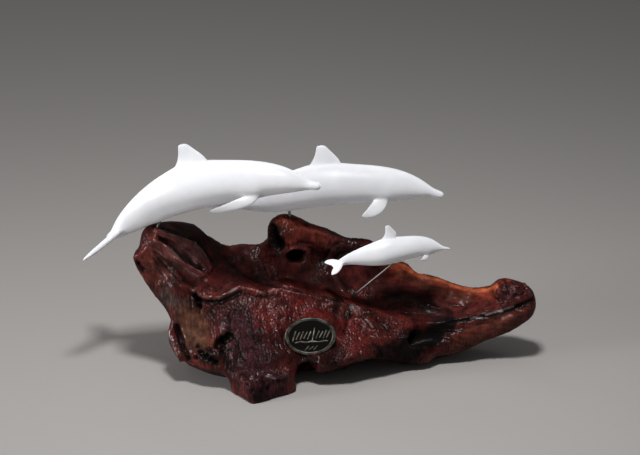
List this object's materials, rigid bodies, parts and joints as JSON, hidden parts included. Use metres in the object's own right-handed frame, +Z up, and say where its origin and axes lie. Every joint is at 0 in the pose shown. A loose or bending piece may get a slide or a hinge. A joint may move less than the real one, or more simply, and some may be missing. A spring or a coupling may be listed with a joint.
{
  "type": "dolphin family sculpture",
  "caption": "A family of white cast dolphins on thin steel pins above a carved and polished dark root base with an oval plate.",
  "frame": {"origin": "middle of the footprint box, on the ground", "axes": "+X along the root to the viewer's right, where the dolphins head; +Y away from the side with the plate; +Z up"},
  "size_m": [0.3014, 0.1106, 0.1576],
  "materials": {
    "root": "high polish over dark reddish brown wood",
    "castings": "white cast stone, matte",
    "pins": "drawn wire, lightly dulled",
    "plate": "darkened antique finish with a worn raised rim"
  },
  "bodies": {
    "root": {"root_base": "root", "dolphin_large_front": "castings", "dolphin_large_back": "castings", "dolphin_calf": "castings", "rod_front": "pins", "rod_back": "pins", "rod_calf": "pins", "maker_plate": "plate"}
  },
  "joints": []
}
